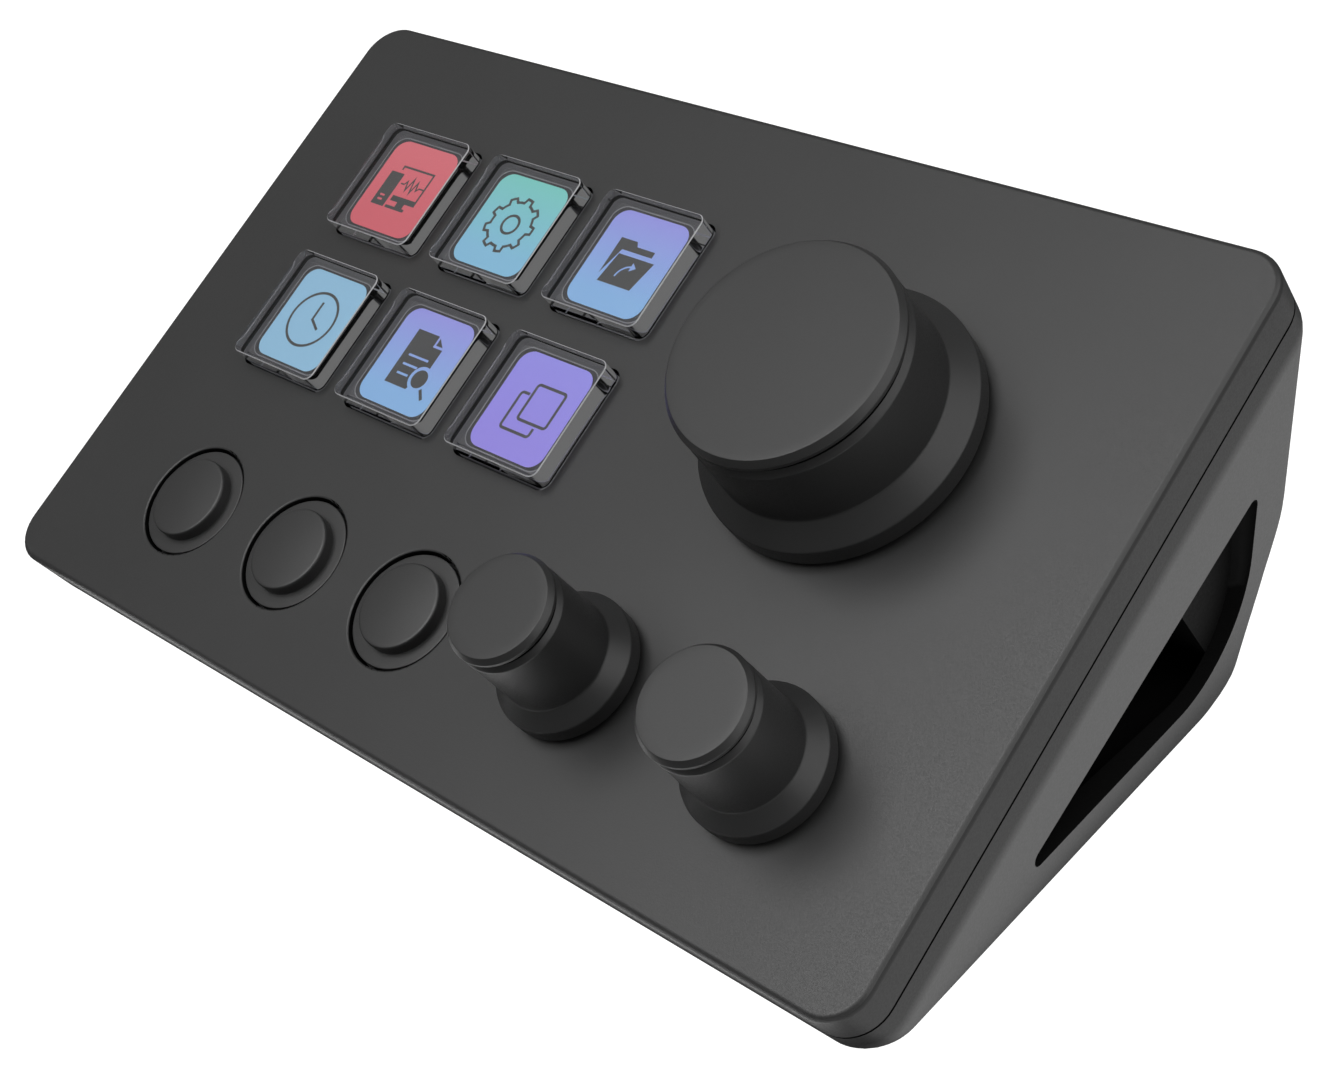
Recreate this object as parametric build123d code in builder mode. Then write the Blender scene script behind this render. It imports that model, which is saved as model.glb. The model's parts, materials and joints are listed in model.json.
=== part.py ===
"""Macro keypad with knobs: six clear display keys, three round buttons and three push-and-turn
knobs on a sloping faceplate, carried by a hollow wedge-shaped stand.

World frame: X to the right, Y to the rear, Z up, origin on the table under the middle of the box.
Panel frame: x to the right, v up the slope from the faceplate's front edge, n out of the faceplate.
All sizes are in millimetres.
"""
import os
from math import asin, cos, degrees, pi, radians, sin, tan

from build123d import *

os.makedirs("parts", exist_ok=True)

# ---------------------------------------------------------------- driving dimensions
# faceplate's layout: its size follows from where the keys, buttons and knobs stand
slope = 30.0                  # faceplate above the table, degrees
pitch = 19.0                  # between keys and between round buttons
key_margin = 22.6             # face's left edge to the first column
knob_spacing = 36.8           # last column to the large knob
knob_margin = 32.6            # large knob to the face's right edge
button_margin = 14.1          # face's front edge to the round buttons
key_spacing = 24.9            # round buttons to the front row of keys
rear_margin = 20.6            # rear row of keys to the face's rear edge
large_knob_margin = 29.5      # large knob to the face's rear edge
small_knob_margin = 16.4      # face's front edge to the small knobs
small_knob_pitch = 25.0

# faceplate
face_corner_r = 3.9           # plan corners of the flat top face
edge_r = 0.7                  # rounding between the top face and its walls
sheet = 2.0                   # thickness of the faceplate's flat
plate_wall = 2.0              # thickness of its rim
plate_depth = 4.4             # depth of its rim
seam = 0.3                    # dark gap between faceplate and stand
front_edge_height = 6.85      # flat face's front edge above the stand's base

# stand
rim_depth = 7.6               # depth at which the stand's walls change direction
soft_bend = 0.75              # half width of that bend
side_lean = 6.5               # stand's sides lean inwards, degrees
stand_wall = 2.2
rear_kink_height = 19.0       # height of the rear wall's lower bend above the base
rear_slope = 65.5             # lower rear wall above the table, degrees
kink_bend = 1.5               # half width of the lower bend
heel_r = 5.0                  # rounding from the lower rear wall into the base
chamber_depth = 12.9          # floor of the electronics chamber under the top face
tongue_rise = 1.4             # locating tongue above the stand's rim
tongue_gap = 0.15
tongue_thick = 0.7
base_edge_r = 0.5
base_cut = 3.0                # cut off below the stand's base

# cable bay that runs through the stand, and its side windows
bay_roof_depth = 15.0
bay_margin = 27.8             # bay's rear wall before the face's rear edge, up the slope
bay_floor_wall = 2.2
compartment_floor = 7.0       # floor of the space behind the bay, above the base
window_floor = 3.95           # window's lower edge above the base
window_slope = 26.2           # window's upper edge, degrees
window_front = 23.2           # window's front corner behind the face's front edge
window_margin = 8.8           # window's rear edge before the rear wall
window_sweep_r = 12.0         # large lower rear corner
window_tip_r = 1.0
window_top_r = 1.0
window_recess = 4.2           # windows end this far inside the faceplate's sides
cut_reach = 5.0               # windows' cuts run this far past the faceplate's sides

# rubber feet
foot_r = 4.5
foot_rise = 0.8               # foot's stand-off below the base
foot_pocket = 0.6
foot_gap = 0.1
foot_edge_r = 0.3
foot_side = 15.0              # feet inside the face's side edges
foot_front = 13.0             # front feet behind the face's front edge
foot_rear = 17.6              # rear feet before the rear wall

# keys
key_size = 14.7
key_corner_r = 1.1
key_rise = 2.35
key_foot = 0.6                # clear block's underside below the top face
key_edge = 0.35
key_gap = 0.3                 # between a key and its opening, all round
display_margin = 0.75         # clear block's edge outside the display, all round
display_thick = 1.2
display_gap = 0.05
carrier_lip = 0.85            # carrier's flange outside the key, all round
flange_thick = 1.0
flange_gap = 0.1              # under the faceplate
guide_gap = 0.2
guide_bar = 3.0
guide_thick = 2.5
guide_corner_r = 2.0
stem_r = 1.6
stem_gap = 0.15

# round buttons
button_well_r = 6.85
button_well_edge = 0.3
button_gap = 0.25             # between a button's skirt and its well
button_lip = 0.85             # button's flange outside its well
button_skirt_drop = 0.3       # skirt's top below the top face
button_cap_r = 4.95
button_cap_rise = 1.25
button_dome = 0.2
button_edge_r = 0.45

# switches under keys and buttons
switch_size = 6.0
switch_corner_r = 0.4
switch_height = 2.4
switch_well = 1.6
stem_reach = 0.5              # stem's tip inside the switch at rest

# knobs: flange, cone, body, groove and top cap, as radius and height above the top face
knob_lift = 0.6               # flange's underside above the top face
knob_travel = 0.45
flange_edge = 0.2
large_flange_r = 14.85
large_flange_top = 2.8
large_base_r = 12.5           # body where it meets the flange's cone
large_base_top = 4.86
large_body_r = 12.35          # body at its upper edge
large_top_r = 11.83
large_top = 14.9
large_bevel = 0.5
large_band = 0.5              # upright edge of the top cap
large_groove = 0.6
large_skirt_wall = 1.7
small_flange_r = 7.53
small_flange_top = 2.5
small_base_r = 5.88
small_base_top = 4.0
small_body_r = 5.8
small_top_r = 5.37
small_top = 14.3
small_bevel = 0.42
small_band = 0.45
small_groove = 0.5
spigot_depth = 1.4
spigot_gap = 0.05
neck_wall = 1.1               # neck's edge outside the spigot
hub_wall = 1.8
hub_roof = 1.8

# encoders
bush_r = 3.5
bush_rise = 2.6
bush_hole_gap = 0.4
bush_room = 0.6               # knob's hollow outside the bush
bush_head_room = 0.25
shaft_r = 3.0
shaft_gap = 0.05
shaft_top = 9.5
shaft_chamfer = 0.4
shaft_flat = 1.5              # depth of the flat on the shaft
hub_gap = 0.02
encoder_size = 12.4
encoder_corner_r = 0.6
encoder_height = 4.5
encoder_wall = 0.9
encoder_floor = 0.5
rotor_r = 4.2
rotor_thick = 1.0
rotor_gap = 0.1
rotor_room = 0.5
plunger_r = 2.2
plunger_thick = 1.3
contact_gap = 0.03

# boards
board_depth = 7.5             # main board's upper side under the top face
board_thick = 1.6
board_side = 4.5              # board's edges inside the face's edges
board_front = 8.6
board_rear = 3.6
board_corner_r = 2.0
post_side = 8.0               # posts inside the face's side edges
post_front = 13.0
post_rear = 6.6
post_r = 2.4

# screws
screw_r = 0.95
screw_hole_gap = 0.05
board_hole_gap = 0.15
screw_head_r = 1.8
screw_head = 1.2
screw_bite = 4.0              # board screws' length beyond the board
case_screw_v = 5.4
case_boss_r = 2.9
case_boss_split = 6.5         # where faceplate boss and stand boss meet
case_screw_seat = 8.6
case_screw_tip = 3.2
case_hole_gap = 0.2
case_head_gap = 0.3

# USB inlet in the rear wall
port_over_kink = 4.0          # inlet's middle above the rear wall's lower bend
port_width = 8.94
port_thick = 3.26
port_length = 7.4
port_gap = 0.35
port_set_back = 0.3
port_shell = 0.3
port_end_wall = 1.2
port_tongue_width = 6.6
port_tongue_thick = 0.7
port_board_width = 24.0
port_board_length = 11.5
port_board_thick = 1.2
port_board_corner_r = 1.0
port_board_gap = 0.2          # behind the board
shelf_width = 5.0
shelf_drop = 3.8
shelf_root = 0.5              # shelf's reach into the rear wall
shelf_floor = 1.0             # left under the screw's hole
port_screw_x = 9.0
port_screw_tip = 1.5          # screw's tip above the shelf's underside

# flat cable between the boards
ribbon_width = 8.0
ribbon_thick = 0.4
ribbon_lap = 4.0              # length that lies on the main board
ribbon_start = 2.5            # its end on the small board, before the board's middle
ribbon_run = 4.5
ribbon_end_margin = 23.6      # its end on the main board, before the face's rear edge
ribbon_bend_r = 1.2

# ---------------------------------------------------------------- worked-out places
up, along = sin(radians(slope)), cos(radians(slope))
face_width = key_margin + 2 * pitch + knob_spacing + knob_margin
face_length = button_margin + key_spacing + pitch + rear_margin
half_face = face_width / 2
plate_half = half_face + edge_r
plate_front_v, plate_rear_v = -edge_r, face_length + edge_r
plate_corner_r = face_corner_r + edge_r
rear_back = plate_rear_v * along + rim_depth * up     # rear wall behind the face's front edge
front_back = edge_r * (up - 1)                        # foremost point of the rounded front edge
front_y = -(rear_back + front_back) / 2
base_z = foot_rise
front_z = base_z + front_edge_height
rear_y = front_y + rear_back

panel = Plane(origin=(0, front_y, front_z), x_dir=(1, 0, 0), z_dir=(0, -up, along))
outward = Axis(panel.origin, panel.z_dir)
key_columns = [key_margin - half_face + pitch * step for step in (0, 1, 2)]
key_rows = [face_length - rear_margin, face_length - rear_margin - pitch]
key_places = [(x, v) for v in key_rows for x in key_columns]
button_places = [(x, button_margin) for x in key_columns]
key_centre = (key_columns[1], sum(key_rows) / 2)
knob_x = half_face - knob_margin
post_places = [(side * (half_face - post_side), v)
               for v in (post_front, face_length - post_rear) for side in (-1, 1)]
foot_places = [(side * (half_face - foot_side), y)
               for y in (front_y + foot_front, rear_y - foot_rear) for side in (-1, 1)]
case_screw_places = [((key_columns[0] + key_columns[1]) / 2, case_screw_v), (knob_x, case_screw_v)]
window_depth_x = plate_half - window_recess
flange_top = sheet + flange_gap
flange_foot = flange_top + flange_thick
switch_top = board_depth - switch_height
stem_tip = switch_top + stem_reach


class KnobForm:
    """One knob's outline, from the flange up to the flat top."""

    def __init__(self, flange, base, body_r, top, bevel, band, groove, skirt_wall=None):
        self.flange_r, self.flange_top = flange                # flange's rim and its upper edge
        self.base_r, self.base_top = base                      # body where it meets the flange's cone
        self.body_r = body_r                                   # body at its upper edge
        self.top_r, self.top = top                             # flat top
        self.bevel = bevel
        self.cap_r = self.top_r + bevel                        # top cap's rim
        self.cap_bevel_foot = self.top - 1.5 * bevel
        self.cap_foot = self.cap_bevel_foot - band             # top cap's lower edge
        self.neck_r = self.cap_r - 1.3 * bevel
        self.shoulder = self.cap_foot - groove                 # body's upper face
        self.spigot_r = self.neck_r - neck_wall
        self.spigot_foot = self.shoulder - spigot_depth
        self.hollow_r = self.base_r - skirt_wall if skirt_wall else None


large_form = KnobForm((large_flange_r, large_flange_top), (large_base_r, large_base_top), large_body_r,
                      (large_top_r, large_top), large_bevel, large_band, large_groove, large_skirt_wall)
small_form = KnobForm((small_flange_r, small_flange_top), (small_base_r, small_base_top), small_body_r,
                      (small_top_r, small_top), small_bevel, small_band, small_groove)
knobs = {
    "large": (knob_x, face_length - large_knob_margin, large_form),
    "left": (knob_x - small_knob_pitch / 2, small_knob_margin, small_form),
    "right": (knob_x + small_knob_pitch / 2, small_knob_margin, small_form),
}


def panel_point(x, v, n=0.0):
    """World place of a point given in the panel frame."""
    return panel.from_local_coords((x, v, n))


def side_point(v, n):
    """(Y, Z) of a point given in the panel frame."""
    point = panel_point(0, v, n)
    return point.Y, point.Z


def spin_plane(x, v):
    """Plane through a knob's or button's axis: radius to the right, n up."""
    return Plane(origin=panel_point(x, v), x_dir=panel.x_dir, z_dir=panel.y_dir * -1)


def spin_axis(x, v):
    return Axis(panel_point(x, v), panel.z_dir)


def bend(depth, start, steepness, soft):
    """Set-back that starts at a depth and grows steadily, eased in by a parabola."""
    past = depth - start
    if past <= -soft:
        return 0.0
    if past >= soft:
        return steepness * past
    return steepness * (past + soft) ** 2 / (4 * soft)


# ---------------------------------------------------------------- faceplate
with BuildPart() as faceplate:
    with BuildSketch(panel.offset(-plate_depth)):
        with Locations((0, face_length / 2)):
            RectangleRounded(2 * plate_half, face_length + 2 * edge_r, plate_corner_r)
    extrude(amount=plate_depth)
    fillet(faceplate.faces().sort_by(outward)[-1].edges(), edge_r)
    with BuildSketch(panel.offset(-plate_depth)):
        with Locations((0, face_length / 2)):
            RectangleRounded(2 * (plate_half - plate_wall), face_length + 2 * (edge_r - plate_wall),
                             plate_corner_r - plate_wall)
    extrude(amount=plate_depth - sheet, mode=Mode.SUBTRACT)
    with BuildSketch(panel.offset(-board_depth)):                     # posts for the main board
        with Locations(*post_places):
            Circle(post_r)
    extrude(amount=board_depth - sheet)
    with BuildSketch(panel.offset(-case_boss_split)):                 # bosses for the case screws
        with Locations(*case_screw_places):
            Circle(case_boss_r)
    extrude(amount=case_boss_split - sheet)
    with BuildSketch(panel):
        with Locations(*key_places):
            RectangleRounded(key_size + 2 * key_gap, key_size + 2 * key_gap, key_corner_r + key_gap)
        with Locations(*button_places):
            Circle(button_well_r)
        with Locations(*[(x, v) for x, v, _ in knobs.values()]):
            Circle(bush_r + bush_hole_gap)
    extrude(amount=-sheet, mode=Mode.SUBTRACT)
    well_mouths = [edge for edge in faceplate.faces().sort_by(outward)[-1].edges()
                   if edge.geom_type == GeomType.CIRCLE and abs(edge.radius - button_well_r) < 0.01]
    fillet(well_mouths, button_well_edge)
    with BuildSketch(panel.offset(-board_depth)):
        with Locations(*post_places):
            Circle(screw_r + screw_hole_gap)
    extrude(amount=board_depth - sheet, mode=Mode.SUBTRACT)
    with BuildSketch(panel.offset(-case_boss_split)):
        with Locations(*case_screw_places):
            Circle(screw_r + screw_hole_gap)
    extrude(amount=case_boss_split - sheet, mode=Mode.SUBTRACT)
faceplate.part.label = "faceplate"
export_step(faceplate.part, "parts/faceplate.step")

# ---------------------------------------------------------------- stand
rear_lean = tan(radians(slope))                       # rear wall stands upright on the table
kink_z = base_z + rear_kink_height
kink_depth = -panel.to_local_coords(Vector(0, rear_y, kink_z)).Z
slant = rear_slope - slope                            # lower rear wall against the faceplate
lower_lean = 1 / tan(radians(slant)) - rear_lean
deepest = kink_depth + rear_kink_height / sin(radians(rear_slope)) * sin(radians(slant)) + base_cut
bend_steps = (-1, -0.5, 0, 0.5, 1)
section_depths = ([plate_depth + seam] + [rim_depth + soft_bend * step for step in bend_steps]
                  + [kink_depth + kink_bend * step for step in bend_steps] + [deepest])


def stand_half(depth):
    return plate_half - bend(depth, rim_depth, tan(radians(side_lean)), soft_bend)


def stand_rear(depth):
    return (plate_rear_v - bend(depth, rim_depth, rear_lean, soft_bend)
            - bend(depth, kink_depth, lower_lean, kink_bend))


chamber_half = plate_half - plate_wall - tongue_gap - tongue_thick
with BuildPart() as chamber:                          # space for the boards, under the faceplate
    with BuildSketch(panel.offset(-chamber_depth)):
        with Locations((0, face_length / 2)):
            RectangleRounded(2 * chamber_half, face_length + 2 * (chamber_half - half_face),
                             plate_corner_r - plate_wall)
    extrude(amount=chamber_depth)
    split(bisect_by=Plane.XY.offset(base_z + stand_wall), keep=Keep.TOP)
    split(bisect_by=Plane.XZ.offset(-(rear_y - stand_wall)), keep=Keep.TOP)

rear_compartment_half = window_depth_x - stand_wall
rear_inner = rear_y - stand_wall
kink_inner_z = kink_z + stand_wall * tan(radians((90 - rear_slope) / 2))
compartment_floor_z = base_z + compartment_floor
foot_inner_y = rear_inner - (kink_inner_z - compartment_floor_z) / tan(radians(rear_slope))
bay_back_v = face_length - bay_margin + stand_wall


def back_wall_at(z):
    """Y of the rear compartment's front wall, square to the faceplate, at a height."""
    y, z_on_face = side_point(bay_back_v, 0)
    return y - (z - z_on_face) * tan(radians(slope))


def ceiling_at(y):
    """Height just above the chamber's floor, at a place behind the bay."""
    return front_z + ((y - front_y) * up - chamber_depth + 1) / along


with BuildPart() as rear_compartment:                 # space behind the bay, for the inlet
    with BuildSketch(Plane.YZ):
        with BuildLine():
            Polyline(side_point(bay_back_v, -chamber_depth + 1),
                     (back_wall_at(compartment_floor_z), compartment_floor_z),
                     (foot_inner_y, compartment_floor_z),
                     (rear_inner, kink_inner_z),
                     (rear_inner, ceiling_at(rear_inner)),
                     close=True)
        make_face()
    extrude(amount=rear_compartment_half, both=True)

window_floor_z = base_z + window_floor
window_rear_y = rear_y - window_margin
window_top_z = window_floor_z + (window_rear_y - front_y - window_front) * tan(radians(window_slope))
with BuildPart() as window:                           # rounded three-cornered opening in each side
    with BuildSketch(Plane.YZ):
        with BuildLine():
            window_tip = (front_y + window_front, window_floor_z)
            window_heel = (window_rear_y, window_floor_z)
            window_peak = (window_rear_y, window_top_z)
            Polyline(window_tip, window_heel, window_peak, close=True)
        make_face()
        fillet(vertices().sort_by_distance(window_heel)[0], window_sweep_r)
        fillet(vertices().sort_by_distance(window_tip)[0], window_tip_r)
        fillet(vertices().sort_by_distance(window_peak)[0], window_top_r)
    extrude(amount=plate_half + cut_reach, both=True)
    with BuildSketch(Plane.YZ):
        Rectangle(4 * face_length, 4 * face_length)
    extrude(amount=window_depth_x, both=True, mode=Mode.SUBTRACT)

bay_floor_z = base_z + bay_floor_wall
with BuildPart() as bay:                              # passage that joins the two windows
    with BuildSketch(Plane.YZ):
        with BuildLine():
            roof_y, roof_z = side_point(face_length - bay_margin, -bay_roof_depth)
            heel_y = roof_y + (roof_z - bay_floor_z) * tan(radians(slope))
            tip_y = roof_y - (roof_z - bay_floor_z) / tan(radians(slope))
            Polyline((tip_y, bay_floor_z), (heel_y, bay_floor_z), (roof_y, roof_z), close=True)
        make_face()
    extrude(amount=window_depth_x, both=True)

heel_lean = radians(90 - rear_slope)                  # lower rear wall out of upright
heel_corner_y = rear_y - rear_kink_height * tan(heel_lean)        # where that wall would meet the base
heel_reach = heel_r * tan((pi / 2 - heel_lean) / 2)
heel_skin = 1.0                                       # the cut starts this far outside the walls
with BuildPart() as heel:                             # what the rounding of the heel takes away
    with BuildSketch(Plane.YZ):
        with BuildLine():
            heel_front = heel_corner_y - heel_reach
            heel_top = Vector(heel_corner_y + heel_reach * sin(heel_lean), base_z + heel_reach * cos(heel_lean))
            heel_out = heel_top + Vector(cos(heel_lean), -sin(heel_lean)) * heel_skin
            Polyline((heel_front, base_z), (heel_front, base_z - heel_skin),
                     (heel_corner_y + heel_reach, base_z - heel_skin), (heel_out.X, heel_out.Y),
                     (heel_top.X, heel_top.Y), close=True)
        make_face()
        with Locations((heel_front, base_z + heel_r)):
            Circle(heel_r, mode=Mode.SUBTRACT)
    extrude(amount=plate_half + heel_skin, both=True)

port_y = rear_y - port_set_back
port_z = kink_z + port_over_kink
port_board_z = port_z - port_thick / 2 - port_board_thick
port_board_y = rear_inner - port_board_gap - port_board_length / 2

with BuildPart() as stand:
    for depth in section_depths:
        with BuildSketch(panel.offset(-depth)):
            with Locations((0, (plate_front_v + stand_rear(depth)) / 2)):
                RectangleRounded(2 * stand_half(depth), stand_rear(depth) - plate_front_v, plate_corner_r)
    loft(ruled=True)
    with BuildSketch(panel.offset(-plate_depth - seam)):              # locating tongue
        with Locations((0, face_length / 2)):
            RectangleRounded(2 * (plate_half - plate_wall - tongue_gap),
                             face_length + 2 * (edge_r - plate_wall - tongue_gap),
                             plate_corner_r - plate_wall - tongue_gap)
    extrude(amount=tongue_rise)
    add(chamber.part, mode=Mode.SUBTRACT)
    add(rear_compartment.part, mode=Mode.SUBTRACT)
    with BuildSketch(panel.offset(-case_boss_split)):                 # bosses for the case screws
        with Locations(*case_screw_places):
            Circle(case_boss_r)
    extrude(amount=-chamber_depth + case_boss_split)
    for side in (-1, 1):                                              # shelf under the inlet's board
        with BuildSketch(Plane.XY.offset(port_board_z)):
            with Locations((side * port_screw_x, port_board_y + port_board_gap + shelf_root)):
                Rectangle(shelf_width, port_board_length)
        extrude(amount=-shelf_drop)
    split(bisect_by=Plane.XY.offset(base_z), keep=Keep.TOP)
    fillet(stand.faces().sort_by(Axis.Z)[0].outer_wire().edges(), base_edge_r)
    add(heel.part, mode=Mode.SUBTRACT)
    add(window.part, mode=Mode.SUBTRACT)
    add(bay.part, mode=Mode.SUBTRACT)
    with BuildSketch(panel.offset(-case_boss_split)):
        with Locations(*case_screw_places):
            Circle(screw_r + case_hole_gap)
    extrude(amount=-chamber_depth, mode=Mode.SUBTRACT)
    with BuildSketch(panel.offset(-case_screw_seat)):
        with Locations(*case_screw_places):
            Circle(screw_head_r + case_head_gap)
    extrude(amount=-chamber_depth, mode=Mode.SUBTRACT)
    with BuildSketch(Plane.XY.offset(base_z)):                        # pockets for the feet
        with Locations(*foot_places):
            Circle(foot_r + foot_gap)
    extrude(amount=foot_pocket, mode=Mode.SUBTRACT)
    with BuildSketch(Plane.XZ.offset(-(rear_y + 1))):                 # slot for the inlet
        with Locations((0, port_z)):
            SlotOverall(port_width + 2 * port_gap, port_thick + 2 * port_gap)
    extrude(amount=stand_wall + 2, mode=Mode.SUBTRACT)
    with BuildSketch(Plane.XY.offset(port_board_z)):
        with Locations((-port_screw_x, port_board_y), (port_screw_x, port_board_y)):
            Circle(screw_r + screw_hole_gap)
    extrude(amount=-shelf_drop + shelf_floor, mode=Mode.SUBTRACT)
stand.part.label = "stand_housing"
export_step(stand.part, "parts/stand_housing.step")

with BuildPart() as feet:
    with BuildSketch(Plane.XY):
        with Locations(*foot_places):
            Circle(foot_r)
    extrude(amount=foot_rise + foot_pocket)
    fillet(feet.faces().group_by(Axis.Z)[0].edges(), foot_edge_r)
feet.part.label = "rubber_feet"
export_step(feet.part, "parts/rubber_feet.step")

# ---------------------------------------------------------------- boards and inlet
with BuildPart() as main_board:
    with BuildSketch(panel.offset(-board_depth)):
        with Locations((0, (board_front + face_length - board_rear) / 2)):
            RectangleRounded(2 * (half_face - board_side), face_length - board_rear - board_front,
                             board_corner_r)
        with Locations(*post_places):
            Circle(screw_r + board_hole_gap, mode=Mode.SUBTRACT)
    extrude(amount=-board_thick)
main_board.part.label = "main_board"
export_step(main_board.part, "parts/main_board.step")

with BuildPart() as port_board:
    with BuildSketch(Plane.XY.offset(port_board_z)):
        with Locations((0, port_board_y)):
            RectangleRounded(port_board_width, port_board_length, port_board_corner_r)
        with Locations((-port_screw_x, port_board_y), (port_screw_x, port_board_y)):
            Circle(screw_r + board_hole_gap, mode=Mode.SUBTRACT)
    extrude(amount=port_board_thick)
port_board.part.label = "port_board"
export_step(port_board.part, "parts/port_board.step")

with BuildPart() as port_socket:
    with BuildSketch(Plane.XZ.offset(-port_y)):
        with Locations((0, port_z)):
            SlotOverall(port_width, port_thick)
    extrude(amount=port_length)
    with BuildSketch(Plane.XZ.offset(-port_y)):
        with Locations((0, port_z)):
            SlotOverall(port_width - 2 * port_shell, port_thick - 2 * port_shell)
            Rectangle(port_tongue_width, port_tongue_thick, mode=Mode.SUBTRACT)
    extrude(amount=port_length - port_end_wall, mode=Mode.SUBTRACT)
port_socket.part.label = "port_socket"
export_step(port_socket.part, "parts/port_socket.step")

ribbon_start_y = port_board_y - ribbon_start
with BuildPart() as link_ribbon:                      # flat cable from the inlet to the main board
    with BuildSketch(Plane.YZ):
        with BuildLine() as ribbon_route:
            board_y, board_z = side_point(face_length - ribbon_end_margin,
                                          -board_depth - board_thick - ribbon_thick / 2)
            low_z = port_board_z + port_board_thick + ribbon_thick / 2
            FilletPolyline((ribbon_start_y, low_z), (ribbon_start_y - ribbon_run, low_z),
                           (board_y + ribbon_lap * along, board_z + ribbon_lap * up), (board_y, board_z),
                           radius=ribbon_bend_r)
        trace(line_width=ribbon_thick)
    extrude(amount=ribbon_width / 2, both=True)
link_ribbon.part.label = "link_ribbon"
export_step(link_ribbon.part, "parts/link_ribbon.step")

# ---------------------------------------------------------------- screws
with BuildPart() as board_screws:                     # identical screws of both boards
    with BuildSketch(panel.offset(-board_depth - board_thick)):
        with Locations(*post_places):
            Circle(screw_head_r)
    extrude(amount=-screw_head)
    with BuildSketch(panel.offset(-board_depth - board_thick)):
        with Locations(*post_places):
            Circle(screw_r)
    extrude(amount=board_thick + screw_bite)
    with BuildSketch(Plane.XY.offset(port_board_z + port_board_thick)):
        with Locations((-port_screw_x, port_board_y), (port_screw_x, port_board_y)):
            Circle(screw_head_r)
    extrude(amount=screw_head)
    with BuildSketch(Plane.XY.offset(port_board_z + port_board_thick)):
        with Locations((-port_screw_x, port_board_y), (port_screw_x, port_board_y)):
            Circle(screw_r)
    extrude(amount=-port_board_thick - shelf_drop + port_screw_tip)
board_screws.part.label = "board_screws"
export_step(board_screws.part, "parts/board_screws.step")

with BuildPart() as case_screws:
    with BuildSketch(panel.offset(-case_screw_seat)):
        with Locations(*case_screw_places):
            Circle(screw_head_r)
    extrude(amount=-screw_head)
    with BuildSketch(panel.offset(-case_screw_seat)):
        with Locations(*case_screw_places):
            Circle(screw_r)
    extrude(amount=case_screw_seat - case_screw_tip)
case_screws.part.label = "case_screws"
export_step(case_screws.part, "parts/case_screws.step")

# ---------------------------------------------------------------- keys
carrier_flange = key_size + 2 * carrier_lip
display_size = key_size - 2 * display_margin
guide_window = carrier_flange + 2 * guide_gap
with BuildPart() as key_guide:
    with BuildSketch(panel.offset(-sheet)):
        with Locations(key_centre):
            RectangleRounded(2 * pitch + guide_window + 2 * guide_bar,
                             pitch + guide_window + 2 * guide_bar, guide_corner_r)
        with Locations(*key_places):
            Rectangle(guide_window, guide_window, mode=Mode.SUBTRACT)
    extrude(amount=-guide_thick)
key_guide.part.label = "key_guide"
export_step(key_guide.part, "parts/key_guide.step")

for number, (key_x, key_v) in enumerate(key_places, 1):
    with BuildPart() as key_cap:
        with BuildSketch(panel.offset(-key_foot)):
            with Locations((key_x, key_v)):
                RectangleRounded(key_size, key_size, key_corner_r)
        extrude(amount=key_foot + key_rise)
        fillet(key_cap.faces().sort_by(outward)[-1].edges(), key_edge)
    key_cap.part.label = f"key_cap_{number}"
    export_step(key_cap.part, f"parts/key_cap_{number}.step")

    with BuildPart() as key_display:
        with BuildSketch(panel.offset(-key_foot)):
            with Locations((key_x, key_v)):
                Rectangle(display_size, display_size)
        extrude(amount=-display_thick)
    key_display.part.label = f"key_display_{number}"
    export_step(key_display.part, f"parts/key_display_{number}.step")

    with BuildPart() as key_carrier:
        with BuildSketch(panel.offset(-flange_foot)):
            with Locations((key_x, key_v)):
                Rectangle(carrier_flange, carrier_flange)
        extrude(amount=flange_thick)
        with BuildSketch(panel.offset(-flange_top)):
            with Locations((key_x, key_v)):
                RectangleRounded(key_size, key_size, key_corner_r)
        extrude(amount=flange_top - key_foot)
        with BuildSketch(panel.offset(-key_foot)):
            with Locations((key_x, key_v)):
                Rectangle(display_size + 2 * display_gap, display_size + 2 * display_gap)
        extrude(amount=-display_thick, mode=Mode.SUBTRACT)
        with BuildSketch(panel.offset(-flange_foot)):
            with Locations((key_x, key_v)):
                Circle(stem_r)
        extrude(amount=flange_foot - stem_tip)
    key_carrier.part.label = f"key_carrier_{number}"
    export_step(key_carrier.part, f"parts/key_carrier_{number}.step")


for name, places in {"key_switches": key_places, "button_switches": button_places}.items():
    with BuildPart() as switches:                     # square bodies, each with a well for its stem
        with BuildSketch(panel.offset(-board_depth)):
            with Locations(*places):
                RectangleRounded(switch_size, switch_size, switch_corner_r)
        extrude(amount=switch_height)
        with BuildSketch(panel.offset(-switch_top)):
            with Locations(*places):
                Circle(stem_r + stem_gap)
        extrude(amount=-switch_well, mode=Mode.SUBTRACT)
    switches.part.label = name
    export_step(switches.part, f"parts/{name}.step")

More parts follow.
